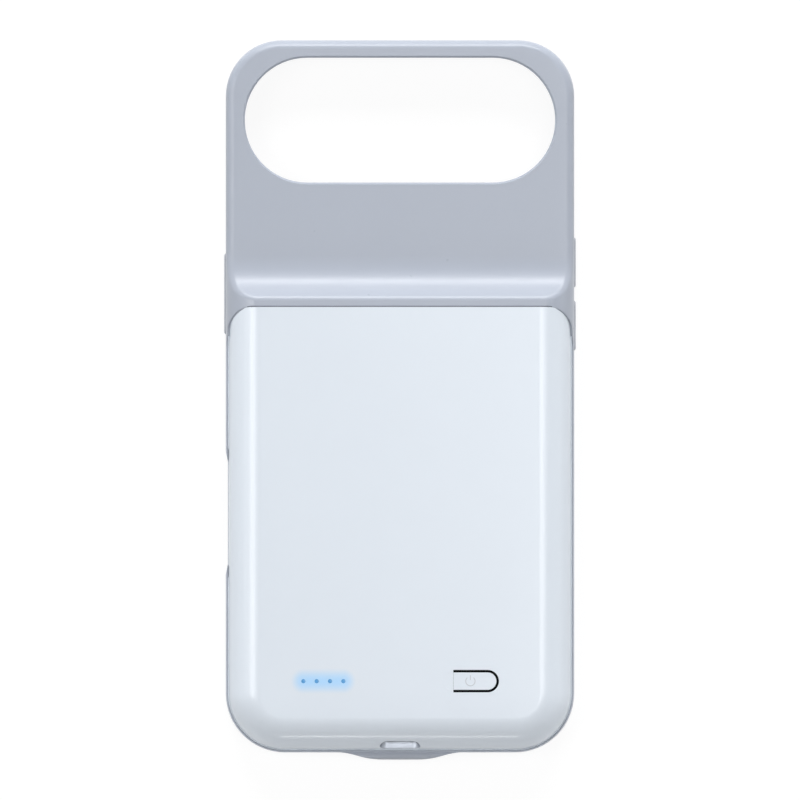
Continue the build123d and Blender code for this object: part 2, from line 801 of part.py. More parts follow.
plug_plane = Plane((0, plug_back_y, pocket_middle), x_dir=(1, 0, 0), z_dir=(0, 1, 0))
plug_length = plug_tip_y - plug_back_y
with BuildPart() as plug_shell:
    with BuildSketch(plug_plane):
        SlotOverall(plug_width, plug_height)
        SlotOverall(plug_width - 2 * plug_wall, plug_height - 2 * plug_wall, mode=Mode.SUBTRACT)
    extrude(amount=plug_length)

with BuildPart() as plug_liner:
    with BuildSketch(plug_plane):
        SlotOverall(plug_width - 2 * (plug_wall + plug_fit), plug_height - 2 * (plug_wall + plug_fit))
    extrude(amount=plug_length - plug_wall)
    with BuildSketch(plug_plane.offset(plug_length)):
        Rectangle(plug_mouth_width, plug_mouth_height)
    extrude(amount=-plug_mouth_depth, mode=Mode.SUBTRACT)

plug_contact_y = plug_tip_y - plug_mouth_depth + plug_contact_length / 2 + plug_wall
with BuildPart() as plug_contacts:
    for face in (1, -1):
        contact_z = pocket_middle - face * plug_mouth_height / 2
        contact_plane = Plane((0, plug_contact_y, contact_z), x_dir=(1, 0, 0), z_dir=(0, 0, face))
        add(contact_row(contact_plane, plug_contact_length))

# Flat cable: up from the plug's board, under the cover's rim, then onto the main board's lower face
cable_low = pocket_middle - cable_foot
cable_level = tray_top + cable_lift + cable_thickness / 2
cable_high = board_base - cable_thickness / 2
with BuildPart() as flat_cable:
    with BuildLine(Plane.YZ.offset(cable_x)):
        FilletPolyline(
            (cable_y, cable_low),
            (cable_y, cable_level),
            (cable_y + cable_run, cable_level),
            (board_low_y + cable_run, cable_high),
            (board_low_y + cable_run + cable_landing, cable_high),
            radius=cable_bend,
        )
    with BuildSketch(Plane((cable_x, cable_y, cable_low))):
        Rectangle(cable_width, cable_thickness)
    sweep()

pieces = {
    "bumper_frame": bumper_frame,
    "back_cover": back_cover,
    "mid_plate": mid_plate,
    "battery_cell": battery_cell,
    "cell_tabs": cell_tabs,
    "protection_board": protection_board,
    "lead_positive": lead_positive,
    "lead_negative": lead_negative,
    "cell_adhesive": cell_adhesive,
    "cell_foam": cell_foam,
    "main_board": main_board,
    "charge_chip": charge_chip,
    "boost_inductor": boost_inductor,
    "board_capacitors": board_capacitors,
    "indicator_leds": indicator_leds,
    "light_guide": light_guide,
    "tact_switch": tact_switch,
    "switch_plunger": switch_plunger,
    "power_button": power_button,
    "button_gasket": button_gasket,
    "charge_port_shell": charge_port_shell,
    "charge_port_tongue": charge_port_tongue,
    "charge_port_contacts": charge_port_contacts,
    "plug_shell": plug_shell,
    "plug_liner": plug_liner,
    "plug_contacts": plug_contacts,
    "plug_carrier": plug_carrier,
    "plug_board": plug_board,
    "flat_cable": flat_cable,
    "side_key": side_key,
    "volume_up_key": volume_up_key,
    "volume_down_key": volume_down_key,
}
for name, piece in pieces.items():
    piece.part.label = name
    export_step(piece.part, f"parts/{name}.step")
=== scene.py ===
import json
import math
from collections import namedtuple

import bmesh
import bpy
import numpy as np
from bpy.props import FloatProperty, FloatVectorProperty, IntProperty, PointerProperty
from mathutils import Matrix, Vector


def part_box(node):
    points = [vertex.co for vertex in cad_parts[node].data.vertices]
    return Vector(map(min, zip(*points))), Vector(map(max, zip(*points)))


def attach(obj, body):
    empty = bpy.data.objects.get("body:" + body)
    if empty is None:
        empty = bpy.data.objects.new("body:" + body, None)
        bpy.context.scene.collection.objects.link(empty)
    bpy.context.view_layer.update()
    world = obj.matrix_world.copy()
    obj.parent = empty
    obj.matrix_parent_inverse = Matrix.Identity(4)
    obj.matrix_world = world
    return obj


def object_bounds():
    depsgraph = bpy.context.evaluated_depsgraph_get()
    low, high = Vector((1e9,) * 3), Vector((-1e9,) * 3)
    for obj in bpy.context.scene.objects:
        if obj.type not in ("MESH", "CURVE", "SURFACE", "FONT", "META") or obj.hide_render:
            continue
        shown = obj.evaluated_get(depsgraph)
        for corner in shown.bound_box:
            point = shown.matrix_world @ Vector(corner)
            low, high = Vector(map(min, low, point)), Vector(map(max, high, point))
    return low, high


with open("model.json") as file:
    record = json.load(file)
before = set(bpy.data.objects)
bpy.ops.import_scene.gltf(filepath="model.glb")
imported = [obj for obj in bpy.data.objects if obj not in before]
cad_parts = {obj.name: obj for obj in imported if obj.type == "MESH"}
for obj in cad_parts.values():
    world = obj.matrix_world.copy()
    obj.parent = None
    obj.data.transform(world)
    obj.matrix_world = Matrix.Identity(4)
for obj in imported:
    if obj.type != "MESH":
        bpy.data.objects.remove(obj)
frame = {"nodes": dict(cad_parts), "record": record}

bl_info = {
    "name": "Battery charging case",
    "version": (1, 0, 0),
    "blender": (4, 5, 0),
    "location": "View3D > Sidebar > Charging case",
    "description": "Finishes, small pieces and studio for a battery charging case",
    "category": "Object",
}

MM = 0.001
WHITE = (1.0, 1.0, 1.0, 1.0)
UPWARDS = np.array([[0.0, 0.0, 1.0]])
FINISH_NAME = "{}_finish"

# The frame: the CAD model's box, its nodes, the record's colours and the places that small pieces are set by
CAD_BOX = [list(corner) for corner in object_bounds()]
RECORD = frame["record"]
NODES = frame["nodes"]
SLOT_OF = {part["node"]: part["material_slot"] for part in RECORD["subparts"]}
COLOUR_OF = {entry["slot"]: entry["base_color"] for entry in RECORD["materials"]}
COVER_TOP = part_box("back_cover")[1].z
BUTTON_LOW, BUTTON_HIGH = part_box("power_button")
LIGHTS_LOW, LIGHTS_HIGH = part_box("light_guide")
LIGHTS_X = (LIGHTS_LOW.x + LIGHTS_HIGH.x) / 2
CONTROLS_Y = (BUTTON_LOW.y + BUTTON_HIGH.y) / 2

# Points of the grids: along seals, arcs and bars, across a stroke, and round and across a lens
SEAL_POINTS = 601
ARC_POINTS = 97
BAR_POINTS = 33
STROKE_POINTS = 17
LENS_POINTS = 33
LENS_RINGS = 8

# Edges of the CAD meshes: above the first angle they stay sharp, and above the second they are bevelled
SHARP_ANGLE = math.radians(27.0)
BEVEL_ANGLE = math.radians(40.0)
BEVEL_SEGMENTS = 2
JOIN_DISTANCE = 0.001 * MM
SEAM_DISTANCE = 0.0001 * MM

# Shoulder bead: the most that it faces sideways where the shoulder is flat and on its straight moulding, and
# the steps by which its mouldings lap
FLAT_FACING = 0.02
STRAIGHT_FACING = 0.25
LAP_STEPS = 3

# Bar of the power mark, as shares of the ring's radius: height of its middle, and length
BAR_RISE = 0.75
BAR_LENGTH = 1.05

# Floor: a hair below the lip that lies on it, so that the two don't share one plane
FLOOR_LEVEL = -0.02 * MM
FLOOR_REACH = 6.0
FLOOR_BOUNCE = (0.6, 0.6, 0.6, 1.0)
FLOOR_SHADOW = (0.14, 0.14, 0.14, 1.0)
FLOOR_GLOW = 0.9

# Moulded pieces: tint of the soft ones, patches of tint and of sheen, and how far the sheen changes
FRAME_TINT = 0.012
CLOUD_SIZE = 14 * MM
SHEEN_SIZE = 3 * MM
SHEEN_SPREAD = 0.05

# Plain moulded slots and the printed mark, with the size and depth of their grain in metres
Moulding = namedtuple("Moulding", "roughness grain depth tint")
MOULDINGS = {
    "tray_plastic": Moulding(0.5, 0.4 * MM, 0.006 * MM, 0.04),
    "wire_red": Moulding(0.4, 0.3 * MM, 0.002 * MM, 0.04),
    "wire_black": Moulding(0.4, 0.3 * MM, 0.002 * MM, 0.04),
    "chip_black": Moulding(0.55, 0.08 * MM, 0.004 * MM, 0.1),
    "ferrite": Moulding(0.7, 0.12 * MM, 0.012 * MM, 0.15),
    "capacitor_tan": Moulding(0.45, 0.1 * MM, 0.003 * MM, 0.1),
    "switch_black": Moulding(0.5, 0.2 * MM, 0.004 * MM, 0.04),
    "liner_black": Moulding(0.6, 0.2 * MM, 0.004 * MM, 0.04),
    "flex_amber": Moulding(0.35, 0.6 * MM, 0.003 * MM, 0.12),
}
MARK_INK = Moulding(0.35, 0.3 * MM, 0.002 * MM, 0.04)

# Lamps, with their places and sizes in metres; the studio setting with a lamp's name holds its strength
Lamp = namedtuple("Lamp", "name middle width height mirrored")
LAMPS = (
    Lamp("key", (0.0, 2.0, 1.3), 1.8, 0.5, True),
    Lamp("wall", (0.0, 2.3, 0.4), 2.4, 0.8, False),
    Lamp("left", (-1.03, 0.1, 1.71), 0.6, 0.7, True),
    Lamp("left_soft", (-1.23, 0.1, 1.58), 0.6, 1.95, True),
    Lamp("right", (0.38, 0.1, 1.96), 0.6, 0.45, True),
    Lamp("right_soft", (0.45, 0.1, 1.95), 0.6, 0.9, True),
    Lamp("left_side", (-2.3, 0.0, 0.4), 2.0, 0.7, False),
    Lamp("right_side", (2.3, 0.0, 0.4), 2.0, 0.7, False),
    Lamp("front", (0.0, -2.0, 0.8), 1.2, 0.8, False),
    Lamp("low", (0.0, -1.89, 0.65), 0.3, 0.14, True),
)


def shade(colour, factor):
    """A colour made darker or lighter, kept between black and white."""
    return tuple(min(1.0, max(0.0, part * factor)) for part in colour)


def colour_property(name, description, colour):
    """A colour that a user would change."""
    return FloatVectorProperty(
        name=name, description=description, default=colour, min=0.0, max=1.0, size=3, subtype="COLOR"
    )


def slot_colour(slot, name, description, share):
    """A colour that a user would change: the record's colour of that slot, less what its gloss adds."""
    return colour_property(name, description, shade(COLOUR_OF[slot], share))


def length_property(name, description, millimetres):
    """A length that a user would change, shown in Blender's units."""
    return FloatProperty(
        name=name, description=description, default=millimetres * MM, min=0.0,
        subtype="DISTANCE", unit="LENGTH",
    )


def share_property(name, description, share):
    """A share between nought and one that a user would change."""
    return FloatProperty(
        name=name, description=description, default=share, min=0.0, max=1.0, subtype="FACTOR"
    )


def strength_property(name, description, strength):
    """A strength of light that a user would change."""
    return FloatProperty(name=name, description=description, default=strength, min=0.0)


class ShellSettings(bpy.types.PropertyGroup):
    """Colours and grain of the pieces that are seen from outside."""

    frame_colour: slot_colour("frame_soft", "Frame colour", "Colour of the soft frame", 0.86)
    cover_colour: slot_colour("cover_gloss", "Cover colour", "Colour of the glossy cover and button", 0.97)
    key_colour: slot_colour("key_soft", "Key colour", "Colour of the soft keys", 0.86)
    frame_roughness: share_property("Frame roughness", "Roughness of the soft frame", 0.3)
    cover_roughness: share_property("Cover roughness", "Roughness of the glossy cover", 0.15)
    grain_size: length_property("Grain size", "Size of the soft frame's fine grain", 0.35)
    grain_depth: length_property("Grain depth", "Depth of the soft frame's fine grain", 0.004)
    edge_width: length_property("Edge width", "Width of the small bevel on moulded edges", 0.05)


class SealSettings(bpy.types.PropertyGroup):
    """Soft seal between the frame's rim and the cover, and dark bead between its shoulder and the cover that
    paints the joint's shadow line.
    """

    seal_width: length_property("Seal width", "Width of the seal between rim and cover", 0.19)
    seal_height: length_property("Seal height", "Height of the seal above its base", 0.1)
    seal_level: length_property("Seal level", "Height of the seal's base above the floor", 7.94)
    seal_corner: length_property("Seal corner", "Radius of the seal's two bends", 12.75)
    seal_end: length_property("Seal end", "Distance of the seal's ends from the cover's upper end", 5.4)
    climb_length: length_property("Climb length", "Length of the seal's ends, which climb with the rim", 3.5)
    climb_height: length_property("Climb height", "Height that the seal's ends climb", 0.7)
    climb_growth: share_property("Climb growth", "Width that the seal gains for each length climbed", 0.25)
    notch_from_top: length_property("Notch position", "Distance of the notch from the window end", 106.6)
    notch_length: length_property("Notch length", "Length of the notch, where there is no rim", 28.2)
    bead_width: length_property("Bead width", "Width of the bead between shoulder and cover", 0.36)
    bead_height: length_property("Bead height", "Height of the bead above its base", 0.03)
    bead_sink: length_property("Bead sink", "Depth of the bead's base below the shoulder's surface", 0.002)
    bead_out: length_property("Bead outwards", "Reach of the bead over the shoulder at the upper end", 0.1)
    bead_in: length_property("Bead inwards", "Reach of the bead over the cover at the bead's two ends", 0.08)
    bead_corner: length_property("Bead corner", "Radius of the bead's two bends", 5.4)
    bead_end: length_property("Bead end", "Distance of the bead's ends from the cover's upper end", 6.6)
    shoulder_drop: length_property("Shoulder drop", "Depth of the shoulder below the cover's top", 0.3)
    joint_gap: length_property("Joint gap", "Distance between the shoulder and the cover", 0.1)
    # Painted shade: shares of the frame's colour that darken the bead to the joint's shadow, less in the
    # bends, which lie in deeper shade
    bead_share: share_property("Bead shade", "Share of the frame's colour in the bead's straight", 0.4)
    corner_share: share_property("Corner shade", "Share of the frame's colour in the bead's bends", 0.9)


class PortSettings(bpy.types.PropertyGroup):
    """Steel lip in the opening of the charging port, whose colour paints the lit tone of the opening's lower
    wall.
    """

    port_width: length_property("Port width", "Width of the port's opening", 9.14)
    port_height: length_property("Port height", "Height of the port's opening", 3.46)
    port_level: length_property("Port level", "Height of the opening's middle above the floor", 10.2)
    cover_round: length_property("Cover rounding", "Radius of the cover's rounded edge", 7.5)
    lip_margin: length_property("Lip margin", "Distance of the lip behind the cover's face", 0.06)
    lip_back: length_property("Lip depth", "Distance of the lip's inner edge behind the cover's end", 2.15)
    lip_thickness: length_property("Lip thickness", "Thickness of the lip at its middle", 0.08)
    # Painted light: steel darkened and tinted blue to the tone that the opening's lower wall takes in the
    # light
    lip_colour: colour_property("Lip colour", "Colour of the lip's satin steel", (0.41, 0.44, 0.49))


class LightSettings(bpy.types.PropertyGroup):
    """Charge lights, and the glow round them that is painted into the cover's colour."""

    light_count: IntProperty(name="Lights", description="Number of charge lights", min=1, max=8, default=4)
    light_pitch: length_property("Light pitch", "Distance between neighbouring lights", 3.0)
    lens_radius: length_property("Lens radius", "Radius of one light's lens", 0.48)
    lens_crown: length_property("Lens crown", "Height of a lens above its rim", 0.035)
    lens_colour: colour_property("Light colour", "Colour of the lit lenses", (0.045, 0.2, 0.42))
    lens_strength: strength_property("Light strength", "Strength of the lit lenses", 0.35)
    # Painted light: the glow is the lights' colour mixed into the cover's base colour, not light that passes
    # through it
    glow_colour: colour_property("Glow colour", "Colour of the glow round the lights", (0.36, 0.66, 0.98))
    glow_radius: length_property("Glow radius", "Reach of the glow round the lights", 3.1)
    glow_strength: share_property("Glow strength", "How much of the light's colour the cover takes", 0.85)


class MarkSettings(bpy.types.PropertyGroup):
    """Power mark on the button, and the moulded half ring at the button's root."""

    mark_radius: length_property("Mark radius", "Radius of the power mark's ring", 1.05)
    mark_stroke: length_property("Mark stroke", "Width of the power mark's lines", 0.2)
    mark_opening: FloatProperty(
        name="Mark opening", description="Angle that the ring leaves open at its top", subtype="ANGLE",
        unit="ROTATION", default=math.radians(80.0),
    )
    mark_x: length_property("Mark position", "Distance of the mark's middle from the case's middle", 15.85)
    mark_colour: colour_property("Mark colour", "Colour of the printed power mark", (0.52, 0.55, 0.6))
    mark_height: length_property("Mark height", "Height of the mark and of the ring above the plastic", 0.01)
    ring_radius: length_property("Ring radius", "Radius of the moulded half ring at the button's root", 2.24)
    ring_width: length_property("Ring width", "Width of the moulded half ring at the button's root", 0.3)


class StudioSettings(bpy.types.PropertyGroup):
    """Camera, lamps and even light."""

    view_width: length_property("View width", "Width of the picture at the case", 180.43)
    camera_height: length_property("Camera height", "Height of the camera above the floor", 4000.0)
    key_strength: strength_property("Key lamp", "Radiance of the high lamp beyond the window end", 11.8)
    wall_strength: strength_property("Wall lamp", "Radiance of the low lamp beyond the window end", 6.5)
    left_strength: strength_property("Left lamp", "Radiance of the narrow lamp on the left", 3.4)
    left_soft_strength: strength_property("Left soft lamp", "Radiance of the broad lamp on the left", 1.5)
    right_strength: strength_property("Right lamp", "Radiance of the narrow lamp on the right", 2.0)
    right_soft_strength: strength_property("Right soft lamp", "Radiance of the broad lamp on the right", 3.0)
    left_side_strength: strength_property("Left side lamp", "Radiance of the low lamp on the left", 2.6)
    right_side_strength: strength_property("Right side lamp", "Radiance of the low lamp on the right", 4.2)
    front_strength: strength_property("Front lamp", "Radiance of the lamp before the port end", 3.0)
    low_strength: strength_property("Low lamp", "Radiance of the low strip before the port end", 6.0)
    fill_strength: strength_property("Fill", "Strength of the even light from all round", 0.07)
    sky_strength: strength_property("Sky", "Strength that the even light gains towards the top", 0.02)


class SceneSettings(bpy.types.PropertyGroup):
    """All settings of the charging case."""

    shell: PointerProperty(type=ShellSettings, name="Shell", description="Outer pieces")
    seal: PointerProperty(type=SealSettings, name="Seal", description="Seal between frame and cover")
    port: PointerProperty(type=PortSettings, name="Port", description="Lip of the charging port")
    lights: PointerProperty(type=LightSettings, name="Lights", description="Charge lights")
    marks: PointerProperty(type=MarkSettings, name="Marks", description="Power mark and root ring")
    studio: PointerProperty(type=StudioSettings, name="Studio", description="Camera and lamps")


def join(tree, socket, value):
    """Joins a socket to another one, or sets its constant."""
    if isinstance(value, bpy.types.NodeSocket):
        tree.links.new(value, socket)
    else:
        socket.default_value = value


def add_node(tree, kind, options=None, **values):
    """A new node, with its options and then its sockets set by name, with _ for a space."""
    node = tree.nodes.new(kind)
    for option, value in (options or {}).items():
        setattr(node, option, value)
    for name, value in values.items():
        join(tree, node.inputs[name.replace("_", " ")], value)
    return node


def arithmetic(tree, operation, *values, clamp=False):
    """Result of one arithmetic step."""
    node = add_node(tree, "ShaderNodeMath", {"operation": operation, "use_clamp": clamp})
    for socket, value in zip(node.inputs, values):
        join(tree, socket, value)
    return node.outputs[0]


class Finish:
    """One procedural material while its nodes are being joined up."""

    def __init__(self, name):
        self.material = bpy.data.materials.new(FINISH_NAME.format(name))
        self.material.use_nodes = True
        self.tree = self.material.node_tree
        self.shader = self.tree.nodes["Principled BSDF"]
        self.place = add_node(self.tree, "ShaderNodeTexCoord").outputs["Object"]

    def set(self, **values):
        """Sets the shader's own sockets by name, with _ for a space."""
        for name, value in values.items():
            join(self.tree, self.shader.inputs[name.replace("_", " ")], value)

    def math(self, operation, *values, clamp=False):
        """Result of one arithmetic step."""
        return arithmetic(self.tree, operation, *values, clamp=clamp)

    def noise(self, size, detail=2.0, scale=(1.0, 1.0, 1.0)):
        """Soft noise with features of about the given size in metres, stretched where the scale is small."""
        place = add_node(self.tree, "ShaderNodeMapping", Vector=self.place, Scale=scale).outputs[0]
        node = add_node(self.tree, "ShaderNodeTexNoise", Vector=place, Scale=1.0 / size, Detail=detail)
        return node.outputs["Fac"]

    def cells(self, size, feature="F1"):
        """Distance from the middles, or from the edges, of cells of about the given size in metres."""
        options = {"feature": feature}
        node = add_node(self.tree, "ShaderNodeTexVoronoi", options, Vector=self.place, Scale=1.0 / size)
        return node.outputs["Distance"]

    def span(self, value, low, high):
        """A value between 0 and 1 brought between two limits."""
        node = add_node(self.tree, "ShaderNodeMapRange", Value=value, To_Min=low, To_Max=high)
        return node.outputs["Result"]

    def blend(self, factor, first, second):
        """Mix of two colours, of which the first may be a socket."""
        if not isinstance(first, bpy.types.NodeSocket):
            first = (*first, 1.0)
        options = {"data_type": "RGBA"}
        node = add_node(self.tree, "ShaderNodeMix", options, Factor=factor, A=first, B=(*second, 1.0))
        return node.outputs["Result"]

    def bump(self, height, depth):
        """Relief on the shader's normal, with its depth in metres."""
        node = add_node(self.tree, "ShaderNodeBump", Strength=1.0, Distance=depth, Height=height)
        self.set(Normal=node.outputs["Normal"])


def moulded(name, colour, roughness, grain, depth, tint):
    """Moulded plastic or rubber: slow cloudy tint, uneven sheen and a fine grain."""
    finish = Finish(name)
    cloud = finish.noise(CLOUD_SIZE, detail=3.0)
    sheen = finish.noise(SHEEN_SIZE)
    finish.set(
        Base_Color=finish.blend(cloud, shade(colour, 1.0 - tint), shade(colour, 1.0 + tint)),
        Roughness=finish.span(sheen, roughness - SHEEN_SPREAD, roughness + SHEEN_SPREAD),
    )
    finish.bump(finish.noise(grain), depth)
    return finish


def dull_seal_and_shade(name, colour, tint):
    """Rubber down in a slot or joint, in a colour that the caller darkens as painted shade for that place:
    moulded as the rest, with hardly any gloss.
    """
    finish = moulded(name, colour, roughness=0.8, grain=0.2 * MM, depth=0.004 * MM, tint=tint)
    finish.set(Specular_IOR_Level=0.08)
    return finish


def glossy(name, shell):
    """Glossy plastic of the cover and its button: hardly any tint, and a faint ripple in place of a grain."""
    colour = tuple(shell.cover_colour)
    return moulded(name, colour, shell.cover_roughness, grain=1.2 * MM, depth=0.0006 * MM, tint=0.008)


def cover_plastic(name, settings):
    """Glossy cover, with the lights' colour painted into its own colour round them as a painted glow.

    Painted glow: a point's distance past the row's ends and its distance across the row are squared, added
    and taken as a share of the reach squared. The painted glow is the square of what that share leaves of
    one.
    """
    lights = settings.lights
    finish = glossy(name, settings.shell)
    place = add_node(finish.tree, "ShaderNodeSeparateXYZ", Vector=finish.place).outputs
    row_half = (lights.light_count - 1) / 2 * lights.light_pitch
    aside = finish.math("ABSOLUTE", finish.math("SUBTRACT", place["X"], LIGHTS_X))
    past = finish.math("MAXIMUM", finish.math("SUBTRACT", aside, row_half), 0.0)
    across = finish.math("SUBTRACT", place["Y"], CONTROLS_Y)
    squared = finish.math("ADD", finish.math("MULTIPLY", past, past), finish.math("MULTIPLY", across, across))
    share = finish.math("DIVIDE", squared, lights.glow_radius**2)
    left = finish.math("SUBTRACT", 1.0, share, clamp=True)
    # Painted glow, mixed into the base colour below
    glow = finish.math("MULTIPLY", finish.math("MULTIPLY", left, left), lights.glow_strength)
    plain = finish.shader.inputs["Base Color"].links[0].from_socket
    finish.set(Base_Color=finish.blend(glow, plain, tuple(lights.glow_colour)))
    return finish


def brushed(name, colour, roughness, along):
    """Brushed metal: streaks that are long on one axis, in its colour, sheen and relief."""
    finish = Finish(name)
    stretch = tuple(0.04 if axis == along else 1.0 for axis in "XYZ")
    streak = finish.noise(size=0.06 * MM, detail=3.0, scale=stretch)
    finish.set(
        Base_Color=finish.blend(streak, shade(colour, 0.86), shade(colour, 1.1)),
        Roughness=finish.span(streak, low=roughness - 0.08, high=roughness + 0.1),
        Metallic=1.0,
    )
    finish.bump(streak, depth=0.004 * MM)
    return finish


def circuit_board(name, colour):
    """Board under green mask: paler copper runs beneath it, cut out of cell edges, and a glass weave."""
    finish = Finish(name)
    run_pitch = 2.2 * MM
    run_share = 0.09
    weave_share = 0.3
    runs = finish.math("LESS_THAN", finish.cells(run_pitch, "DISTANCE_TO_EDGE"), run_share)
    mask = finish.blend(finish.noise(size=5 * MM), shade(colour, 0.85), shade(colour, 1.15))
    weave = finish.math("MULTIPLY", finish.noise(size=0.25 * MM), weave_share)
    finish.set(Base_Color=finish.blend(runs, mask, shade(colour, 1.9)), Roughness=0.38, Coat_Weight=0.3)
    finish.bump(finish.math("ADD", runs, weave), depth=0.02 * MM)
    return finish


def foil_wrap(name, colour):
    """Cell wrapped in foil film: silver with broad creases and a dull satin sheen."""
    finish = Finish(name)
    crease = finish.noise(size=9 * MM, detail=5.0)
    finish.set(
        Base_Color=finish.blend(crease, shade(colour, 0.9), shade(colour, 1.05)),
        Roughness=finish.span(crease, low=0.28, high=0.44),
        Metallic=1.0,
    )
    finish.bump(crease, depth=0.25 * MM)
    return finish


def cellular_pad(name, colour, pore):
    """Foam or tape: pores as the middles of small cells, dull all over."""
    finish = Finish(name)
    pores = finish.cells(pore)
    finish.set(Base_Color=finish.blend(pores, shade(colour, 0.7), shade(colour, 1.1)), Roughness=0.95)
    finish.bump(pores, depth=0.08 * MM)
    return finish


def lit_plastic(name, colour, strength):
    """Lit blue plastic: paler in cloudy patches, with its own light."""
    finish = Finish(name)
    cloud = finish.noise(size=0.5 * MM, detail=1.0)
    finish.set(
        Base_Color=finish.blend(cloud, colour, shade(colour, 1.3)),
        Roughness=0.15,
        Emission_Color=(*colour, 1.0),
        Emission_Strength=strength,
    )
    finish.bump(cloud, depth=0.002 * MM)
    return finish


def finish_for(slot, settings):
    """The material of one of the record's slots, made the first time that it is asked for."""
    shell = settings.shell
    lights = settings.lights
    colour = COLOUR_OF[slot]
    soft = Moulding(shell.frame_roughness, shell.grain_size, shell.grain_depth, FRAME_TINT)
    makers = {
        "frame_soft": lambda: moulded(slot, tuple(shell.frame_colour), *soft),
        "key_soft": lambda: moulded(slot, tuple(shell.key_colour), *soft),
        "cover_gloss": lambda: cover_plastic(slot, settings),
        "button_gloss": lambda: glossy(slot, shell),
        # The gasket, a dust seal behind the button's slot, is darkened to 0.4 of its colour so the slot reads
        # black: partly painted shade for the slot's shadow
        "gasket_black": lambda: dull_seal_and_shade(slot, shade(colour, 0.4), tint=0.2),
        "cell_wrap": lambda: foil_wrap(slot, colour),
        "nickel_tab": lambda: brushed(slot, colour, roughness=0.3, along="X"),
        "plug_steel": lambda: brushed(slot, colour, roughness=0.3, along="Y"),
        "contact_gold": lambda: brushed(slot, colour, roughness=0.25, along="Y"),
        "board_green": lambda: circuit_board(slot, colour),
        "adhesive": lambda: cellular_pad(slot, colour, pore=0.9 * MM),
        "foam": lambda: cellular_pad(slot, colour, pore=0.5 * MM),
        "led_blue": lambda: lit_plastic(slot, colour, strength=0.6),
        "guide_blue": lambda: lit_plastic(slot, tuple(lights.lens_colour), lights.lens_strength),
    }
    made = bpy.data.materials.get(FINISH_NAME.format(slot))
    if made:
        return made
    if slot in MOULDINGS:
        return moulded(slot, colour, *MOULDINGS[slot]).material
    return makers[slot]().material


def dress(names, settings):
    """Gives CAD nodes the finish of their slots."""
    for name in names:
        slots = NODES[name].data.materials
        slots.clear()
        slots.append(finish_for(SLOT_OF[name], settings))


def smooth_group():
    """Node group that joins a CAD mesh's loose faces and keeps only its real edges sharp."""
    group = bpy.data.node_groups.new("Joined faces", "GeometryNodeTree")
    for way in ("INPUT", "OUTPUT"):
        group.interface.new_socket("Geometry", in_out=way, socket_type="NodeSocketGeometry")
    source = add_node(group, "NodeGroupInput").outputs[0]
    merge = add_node(group, "GeometryNodeMergeByDistance", Geometry=source, Distance=JOIN_DISTANCE)
    soft = add_node(group, "GeometryNodeSetShadeSmooth", Geometry=merge.outputs["Geometry"])
    angle = add_node(group, "GeometryNodeInputMeshEdgeAngle").outputs["Unsigned Angle"]
    wide = add_node(group, "FunctionNodeCompare", {"operation": "GREATER_THAN"}, A=angle, B=SHARP_ANGLE)
    sharp = add_node(
        group, "GeometryNodeSetShadeSmooth", {"domain": "EDGE"}, Geometry=soft.outputs["Geometry"],
        Selection=wide.outputs["Result"], Shade_Smooth=False,
    )
    join(group, add_node(group, "NodeGroupOutput").inputs[0], sharp.outputs["Geometry"])
    return group


def grid_squares(rows, columns, start=0):
    """Corners of a grid's squares, in order round each, where points are numbered row by row from a start."""
    index = start + np.arange(rows * columns).reshape(rows, columns)
    corners = [index[:-1, :-1], index[1:, :-1], index[1:, 1:], index[:-1, 1:]]
    return np.stack(corners, axis=-1).reshape(-1, 4)


def close_seams(mesh):
    """Merges the points that meet at a grid's seams and poles, and turns its faces outwards."""
    work = bmesh.new()
    work.from_mesh(mesh)
    bmesh.ops.remove_doubles(work, verts=work.verts, dist=SEAM_DISTANCE)
    bmesh.ops.recalc_face_normals(work, faces=work.faces)
    work.to_mesh(mesh)
    work.free()


def surface(name, grids, body, material):
    """One smooth piece made of closed parametric grids, each an array of rows by columns by xyz."""
    points = np.concatenate([grid.reshape(-1, 3) for grid in grids])
    squares = []
    start = 0
    for grid in grids:
        rows, columns = grid.shape[:2]
        squares.append(grid_squares(rows, columns, start))
        start += rows * columns
    mesh = bpy.data.meshes.new(name)
    mesh.from_pydata(points, [], np.concatenate(squares).tolist())
    close_seams(mesh)
    mesh.polygons.foreach_set("use_smooth", np.ones(len(mesh.polygons), bool))
    mesh.materials.append(material)
    piece = bpy.data.objects.new(name, mesh)
    bpy.context.scene.collection.objects.link(piece)
    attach(piece, body)


def lens_dome(middle, radius, crown):
    """Lens: rings about the middle, from the pole of a flat base out to the rim and up to the crown's pole.

    On the crown a ring's height is the crown's height times one less the square of its share of the radius.
    """
    share = np.concatenate([[0.0], np.linspace(1.0, 0.0, LENS_RINGS)])
    lift = np.concatenate([[0.0], 1.0 - share[1:] ** 2])
    turn = np.linspace(0.0, 2 * np.pi, LENS_POINTS)
    x = middle[0] + radius * np.outer(share, np.cos(turn))
    y = middle[1] + radius * np.outer(share, np.sin(turn))
    z = middle[2] + crown * np.outer(lift, np.ones_like(turn))
    return np.stack([x, y, z], axis=-1)


def stroke(line, across, length, width, height, up=UPWARDS):
    """Raised stroke: a flat base under a half wave, carried along a line of even steps.

    The base and the wave are one closed turn across the line, and both shrink to a point within half a width
    of the line's ends as the edge of a circle does, so that the ends are round and closed.
    """
    run = np.linspace(0.0, length, len(line))
    from_end = np.minimum(np.minimum(run, length - run) / (width / 2), 1.0)
    taper = np.sqrt(1.0 - (1.0 - from_end) ** 2)
    turn = np.linspace(0.0, 2 * np.pi, STROKE_POINTS)
    reach = np.outer(taper * width / 2, np.cos(turn))
    lift = np.outer(taper, np.maximum(np.sin(turn), 0.0) * height)
    return line[:, None] + reach[..., None] * across[:, None] + lift[..., None] * up[:, None]


